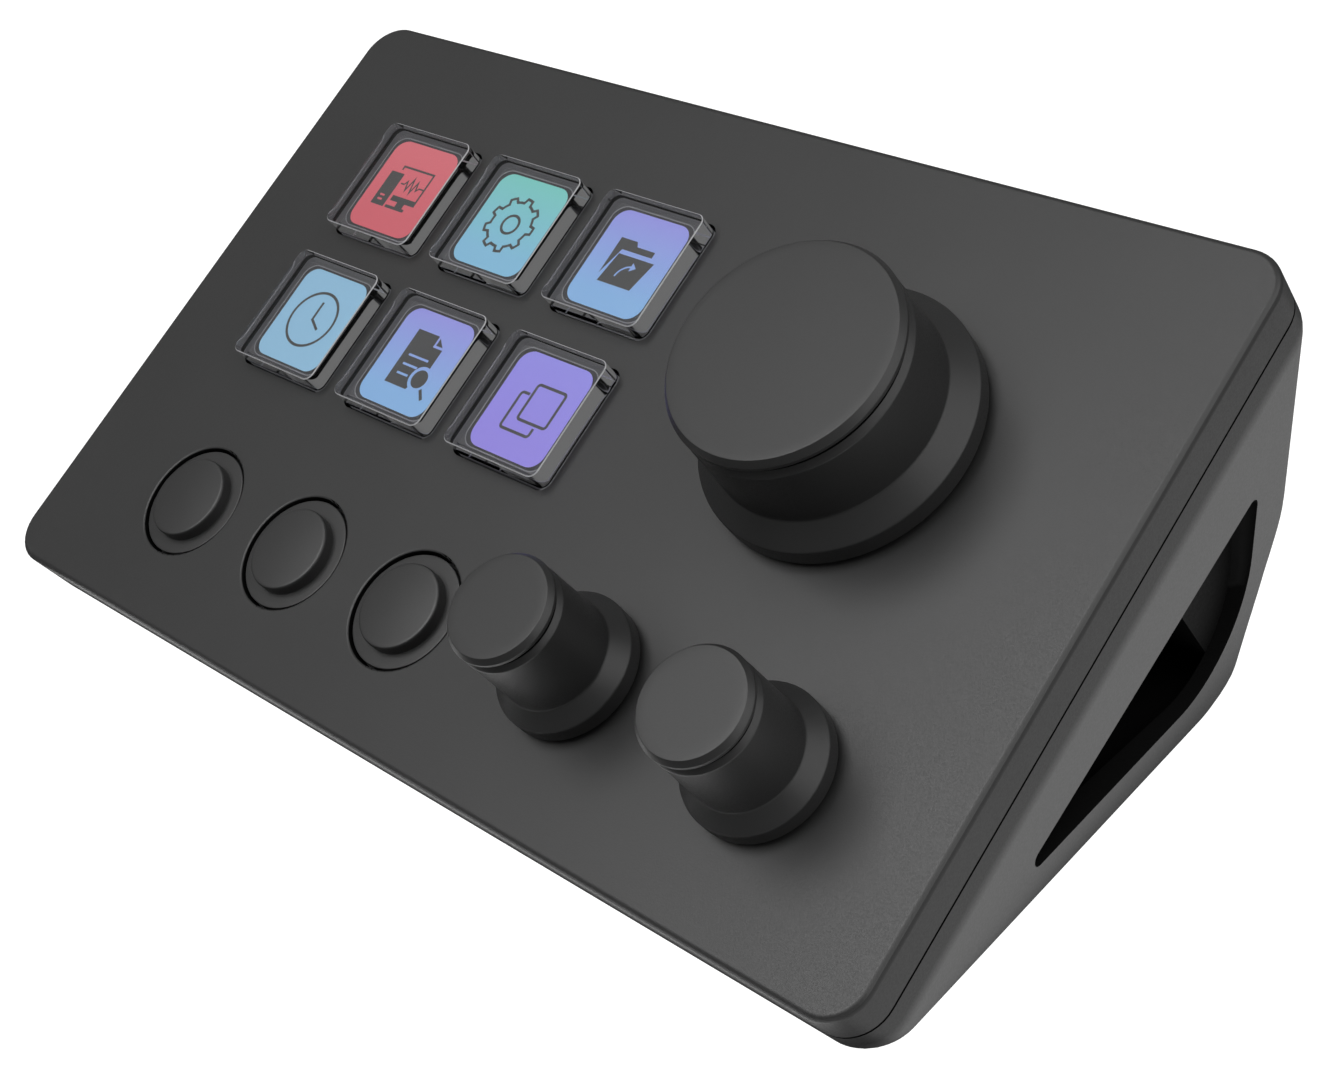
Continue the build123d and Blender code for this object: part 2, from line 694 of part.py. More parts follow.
# ---------------------------------------------------------------- round buttons
button_skirt_r = button_well_r - button_gap
button_flange_r = button_well_r + button_lip
cap_top = button_cap_rise - button_dome
crown_r = button_cap_r - button_edge_r
dome_r = (crown_r ** 2 + button_dome ** 2) / (2 * button_dome)
dome_span = degrees(asin(crown_r / dome_r))
for number, (button_x, _) in enumerate(button_places, 1):
    with BuildPart() as button:
        with BuildSketch(spin_plane(button_x, button_margin)):
            with BuildLine():
                Polyline((0, button_cap_rise), (0, -stem_tip), (stem_r, -stem_tip), (stem_r, -flange_foot),
                         (button_flange_r, -flange_foot), (button_flange_r, -flange_top),
                         (button_skirt_r, -flange_top), (button_skirt_r, -button_skirt_drop),
                         (button_cap_r, -button_skirt_drop), (button_cap_r, cap_top - button_edge_r))
                CenterArc((crown_r, cap_top - button_edge_r), button_edge_r, 0, 90)
                CenterArc((0, button_cap_rise - dome_r), dome_r, 90 - dome_span, dome_span)
            make_face()
        revolve(axis=spin_axis(button_x, button_margin))
    button.part.label = f"round_button_{number}"
    export_step(button.part, f"parts/round_button_{number}.step")


# ---------------------------------------------------------------- knobs and their encoders
bush_room_r = bush_r + bush_room
bush_room_top = bush_rise + knob_travel + bush_head_room
encoder_top = board_depth - encoder_height
rotor_foot = encoder_top + encoder_wall + rotor_gap + rotor_thick

for name, (x, v, form) in knobs.items():
    with BuildPart() as knob_body:
        with BuildSketch(spin_plane(x, v)):
            with BuildLine():
                Polyline((0, knob_lift), (form.flange_r - flange_edge, knob_lift),
                         (form.flange_r, knob_lift + flange_edge),
                         (form.flange_r, form.flange_top), (form.base_r, form.base_top),
                         (form.body_r, form.shoulder - 1.4 * form.bevel),
                         (form.body_r - form.bevel, form.shoulder), (0, form.shoulder), close=True)
            make_face()
        revolve(axis=spin_axis(x, v))
        with BuildSketch(panel.offset(form.shoulder)):         # seat of the top cap's spigot
            with Locations((x, v)):
                Circle(form.spigot_r + spigot_gap)
        extrude(amount=-spigot_depth - spigot_gap, mode=Mode.SUBTRACT)
        if form.hollow_r:
            with BuildSketch(panel.offset(knob_lift)):
                with Locations((x, v)):
                    Circle(form.hollow_r)
                    Circle(bush_room_r + hub_wall, mode=Mode.SUBTRACT)
            extrude(amount=form.spigot_foot - hub_roof - knob_lift, mode=Mode.SUBTRACT)
        with BuildSketch(panel.offset(knob_lift)):             # room for the encoder's bush
            with Locations((x, v)):
                Circle(bush_room_r)
        extrude(amount=bush_room_top - knob_lift, mode=Mode.SUBTRACT)
        with BuildSketch(panel.offset(bush_room_top)):         # bore with a flat, for the shaft
            with Locations((x, v)):
                Circle(shaft_r + hub_gap)
                with Locations((0, shaft_r + hub_gap - shaft_flat / 2)):
                    Rectangle(3 * shaft_r, shaft_flat, mode=Mode.SUBTRACT)
        extrude(amount=shaft_top - bush_room_top, mode=Mode.SUBTRACT)
    knob_body.part.label = f"{name}_knob"
    export_step(knob_body.part, f"parts/{name}_knob.step")

    with BuildPart() as knob_cap:
        with BuildSketch(spin_plane(x, v)):
            with BuildLine():
                Polyline((0, form.spigot_foot), (form.spigot_r, form.spigot_foot), (form.spigot_r, form.shoulder),
                         (form.neck_r, form.shoulder), (form.neck_r, form.cap_foot), (form.cap_r, form.cap_foot),
                         (form.cap_r, form.cap_bevel_foot), (form.top_r, form.top),
                         (0, form.top), close=True)
            make_face()
        revolve(axis=spin_axis(x, v))
    knob_cap.part.label = f"{name}_knob_cap"
    export_step(knob_cap.part, f"parts/{name}_knob_cap.step")

    with BuildPart() as shaft:
        with BuildSketch(spin_plane(x, v)):
            with BuildLine():
                Polyline((0, -rotor_foot), (rotor_r, -rotor_foot), (rotor_r, -rotor_foot + rotor_thick),
                         (shaft_r, -rotor_foot + rotor_thick), (shaft_r, shaft_top - shaft_chamfer),
                         (shaft_r - shaft_chamfer, shaft_top), (0, shaft_top), close=True)
            make_face()
        revolve(axis=spin_axis(x, v))
        with BuildSketch(panel.offset(shaft_top)):
            with Locations((x, v + shaft_r - shaft_flat / 2)):
                Rectangle(2 * shaft_r, shaft_flat)
        extrude(amount=bush_room_top - shaft_top, mode=Mode.SUBTRACT)
    shaft.part.label = f"{name}_encoder_shaft"
    export_step(shaft.part, f"parts/{name}_encoder_shaft.step")

    with BuildPart() as encoder:
        with BuildSketch(panel.offset(-board_depth)):
            with Locations((x, v)):
                RectangleRounded(encoder_size, encoder_size, encoder_corner_r)
        extrude(amount=encoder_height)
        with BuildSketch(panel.offset(-encoder_top)):
            with Locations((x, v)):
                Circle(bush_r)
        extrude(amount=encoder_top + bush_rise)
        with BuildSketch(panel.offset(-board_depth + encoder_floor)):
            with Locations((x, v)):
                Circle(rotor_r + rotor_room)
        extrude(amount=encoder_height - encoder_floor - encoder_wall, mode=Mode.SUBTRACT)
        with BuildSketch(panel.offset(bush_rise)):
            with Locations((x, v)):
                Circle(shaft_r + shaft_gap)
        extrude(amount=-bush_rise - encoder_top - encoder_wall, mode=Mode.SUBTRACT)
    encoder.part.label = f"{name}_encoder"
    export_step(encoder.part, f"parts/{name}_encoder.step")

    with BuildPart() as plunger:                               # presses the encoder's own switch
        with BuildSketch(panel.offset(-rotor_foot - contact_gap)):
            with Locations((x, v)):
                Circle(plunger_r)
        extrude(amount=-plunger_thick)
    plunger.part.label = f"{name}_encoder_plunger"
    export_step(plunger.part, f"parts/{name}_encoder_plunger.step")
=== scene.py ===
"""Looks of the macro keypad with knobs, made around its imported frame.

World axes are the frame's: X to the right, Y to the rear, Z up, in metres.
Panel axes: x to the right, s up the faceplate's slope, n out of the faceplate, n = 0 on its top face.
"""
import json
from math import pi, radians, tau

import bmesh
import bpy
import numpy as np
from mathutils import Euler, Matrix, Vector


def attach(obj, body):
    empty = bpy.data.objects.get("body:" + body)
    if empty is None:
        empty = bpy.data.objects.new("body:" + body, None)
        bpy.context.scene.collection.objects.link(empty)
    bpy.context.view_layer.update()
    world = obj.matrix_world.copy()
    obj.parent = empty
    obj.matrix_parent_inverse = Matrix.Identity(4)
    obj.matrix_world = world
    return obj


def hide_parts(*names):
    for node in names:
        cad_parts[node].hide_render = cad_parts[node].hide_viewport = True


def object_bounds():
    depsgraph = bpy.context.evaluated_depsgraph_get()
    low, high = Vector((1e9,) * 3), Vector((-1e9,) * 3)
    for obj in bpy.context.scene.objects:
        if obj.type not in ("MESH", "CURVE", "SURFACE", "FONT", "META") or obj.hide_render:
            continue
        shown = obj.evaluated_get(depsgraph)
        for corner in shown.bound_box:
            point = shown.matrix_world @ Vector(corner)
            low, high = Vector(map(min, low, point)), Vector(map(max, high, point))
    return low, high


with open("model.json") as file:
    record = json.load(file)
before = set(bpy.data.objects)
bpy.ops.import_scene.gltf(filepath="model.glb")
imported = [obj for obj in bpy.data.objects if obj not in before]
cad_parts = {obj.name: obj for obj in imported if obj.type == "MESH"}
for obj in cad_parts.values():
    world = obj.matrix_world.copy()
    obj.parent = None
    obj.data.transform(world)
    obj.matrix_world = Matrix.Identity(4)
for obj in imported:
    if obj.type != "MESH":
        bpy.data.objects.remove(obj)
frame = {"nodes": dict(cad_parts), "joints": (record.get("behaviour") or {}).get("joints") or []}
cad_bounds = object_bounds()
nodes = frame["nodes"]
joints = {joint["name"]: joint for joint in frame["joints"]}

MM = 0.001

# ---------------------------------------------------------------- panel axes, from the frame
OUT = np.array(joints["large_knob_turn"]["axis"], float)
RIGHT = np.array((1.0, 0.0, 0.0))
RISE = np.cross(OUT, RIGHT)
PANEL = np.stack((RIGHT, RISE, OUT))


def node_points(name):
    """A CAD node's vertices in world axes."""
    mesh = nodes[name].data
    points = np.empty(len(mesh.vertices) * 3)
    mesh.vertices.foreach_get("co", points)
    return points.reshape(-1, 3)


FACE = (node_points("faceplate") @ OUT).max()


def panel_box(name):
    """Lowest and highest corner of a CAD node in panel axes."""
    local = node_points(name) @ PANEL.T - (0.0, 0.0, FACE)
    return local.min(0), local.max(0)


def round_size(name):
    """Centre of a round CAD node in panel axes, and its radius, lowest and highest level in mm."""
    low, high = panel_box(name)
    return (low + high) / 2, (high - low)[0] / 2 / MM, low[2] / MM, high[2] / MM


def from_panel(points):
    """World points from panel ones: x * right + s * rise + (n + face) * out."""
    return (np.asarray(points, float) + (0.0, 0.0, FACE)) @ PANEL


# ---------------------------------------------------------------- camera
CAMERA_PLACE = Vector((159.25, -123.38, 143.19)) * MM
CAMERA_TURN = Euler((radians(56.940), radians(7.237), radians(42.979)))
CAMERA_SENSOR = 36.0           # its width in mm
CAMERA_LENS = 59.868           # in mm
CAMERA_SHIFT = (-0.0616, -0.0332)
NEAR_CLIP = 0.01


def add_camera():
    """Camera with its lens shifted off the middle."""
    camera = bpy.data.cameras.new("camera")
    camera.sensor_width = CAMERA_SENSOR
    camera.lens = CAMERA_LENS
    camera.shift_x, camera.shift_y = CAMERA_SHIFT
    camera.clip_start = NEAR_CLIP
    holder = bpy.data.objects.new("camera", camera)
    holder.location = CAMERA_PLACE
    holder.rotation_euler = CAMERA_TURN
    bpy.context.scene.collection.objects.link(holder)
    bpy.context.scene.camera = holder


# ---------------------------------------------------------------- materials
NOISE_SPAN = (0.3, 0.7)        # where nearly all values of a noise lie
BROAD_GRAIN = 60.0             # grains per metre of the slow changes of tone
TONE_CHANGE = 0.06             # share of the tone by which they change it
SMEAR_GRAIN = 140.0
SMEAR_ROUGHNESS = 0.03
ACRYLIC_TINT = (0.97, 0.975, 0.98)
DISPLAY_BLUE = 1.1             # blue in the displays' light, against its red and green
DRAWN_GRAIN = 900.0            # of the lines in plated metal
DRAWN_SQUEEZE = (1.0, 8.0, 1.0)
DRAWN_SHADE = 0.85             # tone of the darkest, against the lightest
MASK_GRAIN = 400.0
MASK_SPAN = (0.35, 0.65)
MASK_GREENS = ((0.004, 0.03, 0.017), (0.008, 0.05, 0.03))
MASK_RELIEF = 0.02 * MM
STAND_SHADE_SPAN = (-8.5 * MM, -6.7 * MM)     # heights over the faceplate between which its tone changes from painted light below to painted shade above


class Finish:
    """A Principled material with Object coordinates and helpers that add nodes to it. Its sockets are
    given with _ for a space, and its colours as red, green and blue."""

    def __init__(self, name, **sockets):
        self.material = bpy.data.materials.new(name)
        self.material.use_nodes = True
        self.tree = self.material.node_tree
        self.shader = self.tree.nodes["Principled BSDF"]
        self.coordinates = self.tree.nodes.new("ShaderNodeTexCoord").outputs["Object"]
        for socket, value in sockets.items():
            if isinstance(value, tuple):
                value = (*value, 1.0)
            self.shader.inputs[socket.replace("_", " ")].default_value = value

    def link(self, output, target):
        self.tree.links.new(output, target)

    def noise(self, scale, detail=3.0, squeeze=None):
        """Noise of so many grains per metre, and of that times the squeeze along each axis."""
        node = self.tree.nodes.new("ShaderNodeTexNoise")
        node.inputs["Scale"].default_value = scale
        node.inputs["Detail"].default_value = detail
        source = self.coordinates
        if squeeze:
            mapping = self.tree.nodes.new("ShaderNodeMapping")
            mapping.inputs["Scale"].default_value = squeeze
            self.link(source, mapping.inputs["Vector"])
            source = mapping.outputs["Vector"]
        self.link(source, node.inputs["Vector"])
        return node.outputs["Fac"]

    def mapped(self, factor, span, results=(0.0, 1.0)):
        """A factor brought from a span to the results, and held at them outside it."""
        node = self.tree.nodes.new("ShaderNodeMapRange")
        for name, value in zip(("From Min", "From Max", "To Min", "To Max"), (*span, *results)):
            node.inputs[name].default_value = value
        self.link(factor, node.inputs["Value"])
        return node.outputs["Result"]

    def spread(self, noise, low, high, socket):
        """Values from low to high after a noise, on a shader socket."""
        self.link(self.mapped(noise, NOISE_SPAN, (low, high)), self.shader.inputs[socket])

    def tint(self, factor, span, colours, socket="Base Color"):
        """Runs from the first to the second colour over a factor's span, on a shader socket."""
        ramp = self.tree.nodes.new("ShaderNodeValToRGB")
        for element, place, colour in zip(ramp.color_ramp.elements, span, colours):
            element.position = place
            element.color = (*colour, 1.0)
        self.link(factor, ramp.inputs["Fac"])
        self.link(ramp.outputs["Color"], self.shader.inputs[socket])

    def height_over_face(self):
        """Height over the faceplate's top face: position . out - face, in metres."""
        along = self.tree.nodes.new("ShaderNodeVectorMath")
        along.operation = "DOT_PRODUCT"
        along.inputs[1].default_value = OUT
        self.link(self.coordinates, along.inputs[0])
        level = self.tree.nodes.new("ShaderNodeMath")
        level.operation = "SUBTRACT"
        level.inputs[1].default_value = FACE
        self.link(along.outputs["Value"], level.inputs[0])
        return level.outputs["Value"]

    def bump(self, factor, height):
        """Surface relief of a height in metres."""
        node = self.tree.nodes.new("ShaderNodeBump")
        node.inputs["Distance"].default_value = height
        self.link(factor, node.inputs["Height"])
        self.link(node.outputs["Normal"], self.shader.inputs["Normal"])


def grey(level):
    """Colour with a level of red, green and blue each."""
    return (level, level, level)


def moulded(name, level, roughness, grain, relief, spread=0.06, specular=0.5):
    """Dark surface with fine grain: faint tone changes, uneven gloss and shallow relief."""
    finish = Finish(name, Specular_IOR_Level=specular)
    fine = finish.noise(grain, detail=2.0)
    broad = finish.noise(BROAD_GRAIN)
    finish.tint(broad, NOISE_SPAN, (grey(level * (1 - TONE_CHANGE)), grey(level * (1 + TONE_CHANGE))))
    finish.spread(fine, roughness - spread, roughness + spread, "Roughness")
    finish.bump(fine, relief)
    return finish.material


def stand_plastic(upper, lower, roughness, grain, relief, spread=0.05, specular=0.25):
    """Moulded plastic of the stand with painted light and shade: its tone changes from the lighter lower one,
    painted light on its sides, to the darker upper one, painted shade on its rim band, between two heights
    over the faceplate."""
    finish = Finish("stand_plastic", Specular_IOR_Level=specular)
    fine = finish.noise(grain, detail=2.0)
    height = finish.mapped(finish.height_over_face(), STAND_SHADE_SPAN)
    finish.tint(height, (0.0, 1.0), (grey(lower), grey(upper)))
    finish.spread(fine, roughness - spread, roughness + spread, "Roughness")
    finish.bump(fine, relief)
    return finish.material


def clear_acrylic():
    """Clear plastic with faint smears."""
    finish = Finish("clear_acrylic", Base_Color=ACRYLIC_TINT, Transmission_Weight=1.0, IOR=1.49,
                    Specular_IOR_Level=0.5)
    finish.spread(finish.noise(SMEAR_GRAIN), 0.0, SMEAR_ROUGHNESS, "Roughness")
    return finish.material


def glowing_plastic(name, level, glow):
    """Dark plastic with a faint glow: the display's own light on its border, painted light on the carriers
    and display tiles, and a painted highlight on the edges of the blocks and of the displays' borders.
    """
    return Finish(name, Base_Color=grey(level), Roughness=0.4,
                  Emission_Color=(glow, glow, glow * DISPLAY_BLUE), Emission_Strength=1.0).material


def self_lit(name, colour):
    """Display surface that shows little but its own light."""
    return Finish(name, Base_Color=grey(0.0), Roughness=0.3, Emission_Color=colour, Emission_Strength=1.0)


def plated(name, level, low_roughness, high_roughness):
    """Plated metal with fine drawn lines."""
    finish = Finish(name, Metallic=1.0)
    lines = finish.noise(DRAWN_GRAIN, squeeze=DRAWN_SQUEEZE)
    finish.tint(lines, NOISE_SPAN, (grey(level * DRAWN_SHADE), grey(level)))
    finish.spread(lines, low_roughness, high_roughness, "Roughness")
    return finish.material


def solder_mask():
    """Green lacquer of a board, with slightly uneven patches."""
    finish = Finish("solder_mask", Roughness=0.35)
    patches = finish.noise(MASK_GRAIN)
    finish.tint(patches, MASK_SPAN, MASK_GREENS)
    finish.bump(patches, MASK_RELIEF)
    return finish.material


# moulded: tone, roughness, grains per metre and relief; glowing_plastic: tone and glow
FACEPLATE_METAL = moulded("faceplate_metal", 0.022, 0.42, 5200.0, 0.006 * MM)
# the faceplate's walls: a duller copy of its finish, painted shade
FACEPLATE_WALL_SHADE = moulded("faceplate_wall_painted_shade", 0.027, 0.5, 5200.0, 0.006 * MM, specular=0.18)
# the stand's lighter sides and darker rim band are painted light and painted shade
STAND_PLASTIC = stand_plastic(0.016, 0.07, 0.5, 4200.0, 0.008 * MM)
# the casing's inner faces and the knobs' grooves are painted near-black as shade, the side openings' lips a
# little less dark
LIP_PAINTED_SHADE = moulded("lip_painted_shade", 0.006, 0.6, 3000.0, 0.01 * MM, specular=0.05)
INNER_PAINTED_SHADE = moulded("inner_painted_shade", 0.005, 0.6, 3000.0, 0.01 * MM, specular=0.0)
# glow on the key carriers and display tiles: painted light
CARRIER_PAINTED_LIGHT = glowing_plastic("carrier_painted_light", 0.05, 0.045)
KNOB_PLASTIC = moulded("knob_plastic", 0.019, 0.42, 5200.0, 0.005 * MM)
BUTTON_PLASTIC = moulded("button_plastic", 0.022, 0.42, 5200.0, 0.006 * MM)
# black plastic, also used as painted shadow on the clear blocks' feet
BLACK_PLASTIC_AND_SHADOW = moulded("black_plastic", 0.006, 0.4, 4000.0, 0.006 * MM)
DISPLAY_GLASS = glowing_plastic("display_glass", 0.02, 0.03)
# painted highlight on the clear blocks' slanted top edges
EDGE_PAINTED_HIGHLIGHT = glowing_plastic("edge_painted_highlight", 0.25, 0.12)
# painted highlight round the displays' borders
BORDER_PAINTED_HIGHLIGHT = glowing_plastic("border_painted_highlight", 0.15, 0.12)
FOOT_RUBBER = moulded("foot_rubber", 0.02, 0.8, 2500.0, 0.02 * MM, spread=0.1)
CLEAR_ACRYLIC = clear_acrylic()
NICKEL = plated("nickel", 0.6, 0.24, 0.38)
SOLDER_MASK = solder_mask()
RIBBON_FILM = moulded("ribbon_film", 0.6, 0.35, 1200.0, 0.01 * MM)

# ---------------------------------------------------------------- making pieces
SHARP_TURN = radians(32.0)          # edges that turn more stay sharp
COPY_SHARP_TURN = radians(25.0)     # the same, on copies of CAD nodes
FLAT_TURN = radians(0.2)            # a copy's faces that turn less are joined
JOIN_DISTANCE = 0.0005 * MM
FACE_WEIGHT = 100                   # how much a face's area counts for the normals round it
LONGEST_CUT = 0.49                  # share of a profile's side
LEAST_CORNER = 0.02 * MM


def add_piece(name, points, faces, material, body, replaced=()):
    """A mesh piece in world axes that rides on a body and stands for some CAD nodes."""
    mesh = bpy.data.meshes.new(name)
    mesh.from_pydata(points.tolist(), [], faces)
    piece = bpy.data.objects.new(name, mesh)
    bpy.context.scene.collection.objects.link(piece)
    mesh.materials.append(material)
    soften(piece, SHARP_TURN)
    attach(piece, body)
    if replaced:
        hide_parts(*replaced)
    return piece


def add_surface(name, grid, material, body, replaced=(), looped=False):
    """A piece from a grid of closed rings in panel axes."""
    points = from_panel(grid).reshape(-1, 3)
    return add_piece(name, points, closed_grid(grid, looped), material, body, replaced)


def finished_copy(node, name, material, body, reshape=None):
    """The CAD node's own shape, with joined faces, reshaped by a function if there is one."""
    mesh = nodes[node].data.copy()
    form = bmesh.new()
    form.from_mesh(mesh)
    bmesh.ops.remove_doubles(form, verts=form.verts, dist=JOIN_DISTANCE)
    bmesh.ops.dissolve_limit(form, angle_limit=FLAT_TURN, verts=form.verts, edges=form.edges)
    if reshape:
        reshape(form)
    form.to_mesh(mesh)
    form.free()
    mesh.name = name
    mesh.materials.clear()
    mesh.materials.append(material)
    piece = bpy.data.objects.new(name, mesh)
    bpy.context.scene.collection.objects.link(piece)
    soften(piece, COPY_SHARP_TURN)
    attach(piece, body)
    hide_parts(node)
    return piece


def soften(piece, sharp_turn):
    """Smooth shading with sharp edges kept, and flat faces kept flat."""
    mesh = piece.data
    mesh.polygons.foreach_set("use_smooth", np.ones(len(mesh.polygons), bool))
    mesh.set_sharp_from_angle(angle=sharp_turn)
    weighting = piece.modifiers.new("flat_faces", "WEIGHTED_NORMAL")
    weighting.keep_sharp = True
    weighting.weight = FACE_WEIGHT


def face_centres(mesh):
    """Middle of each face, in world axes."""
    return np.array([face.center for face in mesh.polygons])


def face_normals(mesh):
    """Outward direction of each face, in world axes."""
    return np.array([face.normal for face in mesh.polygons])


def paint(piece, choice, *materials):
    """Adds materials to a piece's first one, and gives each face the one whose number is its choice."""
    for material in materials:
        piece.data.materials.append(material)
    piece.data.polygons.foreach_set("material_index", np.asarray(choice, np.int32))


def closed_grid(grid, looped=False):
    """Faces of a grid of closed rings: a quad from each point to its neighbours in the next column and
    ring. The last ring joins the first where the grid is looped, and otherwise both get one flat face."""
    rings, columns = grid.shape[:2]
    ring, column = np.meshgrid(np.arange(rings if looped else rings - 1), np.arange(columns), indexing="ij")
    above, ahead = (ring + 1) % rings * columns, (column + 1) % columns
    quads = np.stack((ring * columns + column, ring * columns + ahead, above + ahead, above + column), -1)
    faces = quads.reshape(-1, 4).tolist()
    if not looped:
        faces.append(np.arange(columns)[::-1].tolist())
        faces.append((np.arange(columns) + (rings - 1) * columns).tolist())
    return faces


def eased(corners, cuts, steps=5):
    """Profile through corners, where each inner corner b is replaced by the curve
    (1-t)^2 a + 2t(1-t) b + t^2 c from a to c, which lie the corner's cut before and after it, and never
    as far as the middle of a side."""
    corners = np.asarray(corners, float)
    t = np.linspace(0.0, 1.0, steps + 1)[:, None]
    rows = [corners[:1]]
    for before, corner, after, cut in zip(corners, corners[1:], corners[2:], cuts):
        back, ahead = before - corner, after - corner
        start = corner + back * min(cut / np.linalg.norm(back), LONGEST_CUT)
        end = corner + ahead * min(cut / np.linalg.norm(ahead), LONGEST_CUT)
        rows.append((1 - t) ** 2 * start + 2 * t * (1 - t) * corner + t ** 2 * end if cut else corner[None])
    rows.append(corners[-1:])
    return np.concatenate(rows)


def turned(profile, centre, segments=160):
    """Grid of a profile of (radius, level) turned about the axis through centre:
    x = cx + radius * cos(a), s = cs + radius * sin(a), n = level."""
    angle = np.arange(segments) * tau / segments
    radius, level = profile[:, :1], profile[:, 1:]
    return np.stack((centre[0] + radius * np.cos(angle), centre[1] + radius * np.sin(angle),
                     level + 0.0 * angle), -1)


def rounded_outline(half, radius, steps):
    """Rectangle of half sizes with round corners: four quarter arcs, joined by straight runs."""
    angle = np.linspace(0.0, pi / 2, steps + 1) + (np.arange(4) * pi / 2)[:, None]
    corner = np.array(((1, 1), (-1, 1), (-1, -1), (1, -1))) * (half[0] - radius, half[1] - radius)
    arcs = corner[:, None, :] + radius * np.stack((np.cos(angle), np.sin(angle)), -1)
    return arcs.reshape(-1, 2)


def drawn(profile, centre, half, radius, steps=8):
    """Grid of a profile of (inset, level) carried round a rounded rectangle: each ring is the
    rectangle with its half sizes and corner radius less the inset."""
    rings = []
    for inset, level in profile:
        ring = rounded_outline(np.subtract(half, inset), max(radius - inset, LEAST_CORNER), steps)
        rings.append(np.column_stack((ring + centre[:2], np.full(len(ring), level))))
    return np.stack(rings)


# ---------------------------------------------------------------- casing
HEEL_ROUND = 8.0 * MM
HEEL_WALL = radians(65.5)      # lower rear wall above the table
HEEL_END = 0.9                 # share of the way from the rear wall to a side where the rounding ends
HEEL_TURNS = 7
HEEL_CUTS = 5
SIDE_LEAN = radians(6.5)       # stand's sides lean inwards
HULL_SKIN = 0.08 * MM          # faces farther than this inside the hull are inner ones
HULL_SLACK = HULL_SKIN / 8     # a hull's face that leaves a point farther out is a sliver
HULL_NORMAL = 0.9              # and so is one whose normal is shorter
BAY_HALF = 58.0 * MM           # inner faces farther out are the side openings' lips
WALL_TURN = 0.6                # where normal . out is less, a face of the faceplate belongs to its walls, which get painted shade


def dress_casing():
    """Faceplate with duller walls, painted shade, and stand with a rounded heel. Inner walls are painted
    near-black as shade.
    """
    cover = finished_copy("faceplate", "faceplate_skin", FACEPLATE_METAL, "root")
    wall = face_normals(cover.data) @ OUT < WALL_TURN
    # walls get the painted-shade finish, and the inner ones the near-black painted shade
    paint(cover, np.where(wall, 1 + inner_faces(cover.data), 0), FACEPLATE_WALL_SHADE, INNER_PAINTED_SHADE)
    stand = finished_copy("stand_housing", "stand_skin", STAND_PLASTIC, "root", round_heel)
    deep = np.abs(face_centres(stand.data)[:, 0]) < BAY_HALF
    # inner faces get painted shade, darkest deep in the bay
    paint(stand, np.where(inner_faces(stand.data), 1 + deep, 0), LIP_PAINTED_SHADE, INNER_PAINTED_SHADE)


def inner_faces(mesh):
    """Whether each face lies deeper than the skin inside the mesh's convex hull, whose sliver faces
    are left out."""
    form = bmesh.new()
    form.from_mesh(mesh)
    points = np.array([vert.co for vert in form.verts])
    hull = bmesh.ops.convex_hull(form, input=form.verts)
    form.normal_update()
    faces = [item for item in hull["geom"] if isinstance(item, bmesh.types.BMFace)]
    normals = np.array([face.normal for face in faces])
    offsets = np.array([face.normal.dot(face.verts[0].co) for face in faces])
    form.free()
    sound = (offsets[:, None] - normals @ points.T).min(1) > -HULL_SLACK
    sound &= np.linalg.norm(normals, axis=1) > HULL_NORMAL
    return (offsets[sound] - face_centres(mesh) @ normals[sound].T).min(1) > HULL_SKIN


def round_heel(form):
    """Rounds the stand's rear lower edge, and less and less of its corners towards the sides. Between the
    base and a wall, planes touch a ball of the round's radius that itself touches both, and each plane
    cuts a corner off. The wall turns from the rear one to a side one by a share k, and the radius
    falls with 1 - k^2."""
    points = np.array([vert.co for vert in form.verts])
    down = np.array((0.0, 0.0, -1.0))
    base = (points @ down).max()
    rear = np.array((0.0, np.sin(HEEL_WALL), -np.cos(HEEL_WALL)))
    for side in (-1, 1):
        flank = side * RIGHT * np.cos(SIDE_LEAN) - OUT * np.sin(SIDE_LEAN)
        for share in np.linspace(0.0, HEEL_END, HEEL_TURNS):
            wall = rear * (1 - share) + flank * share
            wall /= np.linalg.norm(wall)
            radius = HEEL_ROUND * (1 - share ** 2)
            reach = (points @ wall).max() - radius
            lean = down @ wall
            along_wall = (reach - lean * (base - radius)) / (1 - lean ** 2)
            middle = (base - radius - along_wall * lean) * down + along_wall * wall
            full = np.arccos(lean)
            for turn in np.linspace(0.0, full, HEEL_CUTS + 2)[1:-1]:
                outward = (np.sin(full - turn) * down + np.sin(turn) * wall) / np.sin(full)
                cut_corner(form, middle + radius * outward, outward)
    bmesh.ops.recalc_face_normals(form, faces=form.faces)


def cut_corner(form, place, outward):
    """Cuts off what lies outside a plane, and closes the cut."""
    cut = bmesh.ops.bisect_plane(form, geom=form.verts[:] + form.edges[:] + form.faces[:], plane_co=place,
                                 plane_no=outward, clear_outer=True)
    rim = [item for item in cut["geom_cut"] if isinstance(item, bmesh.types.BMEdge)]
    if rim:
        bmesh.ops.contextual_create(form, geom=rim)


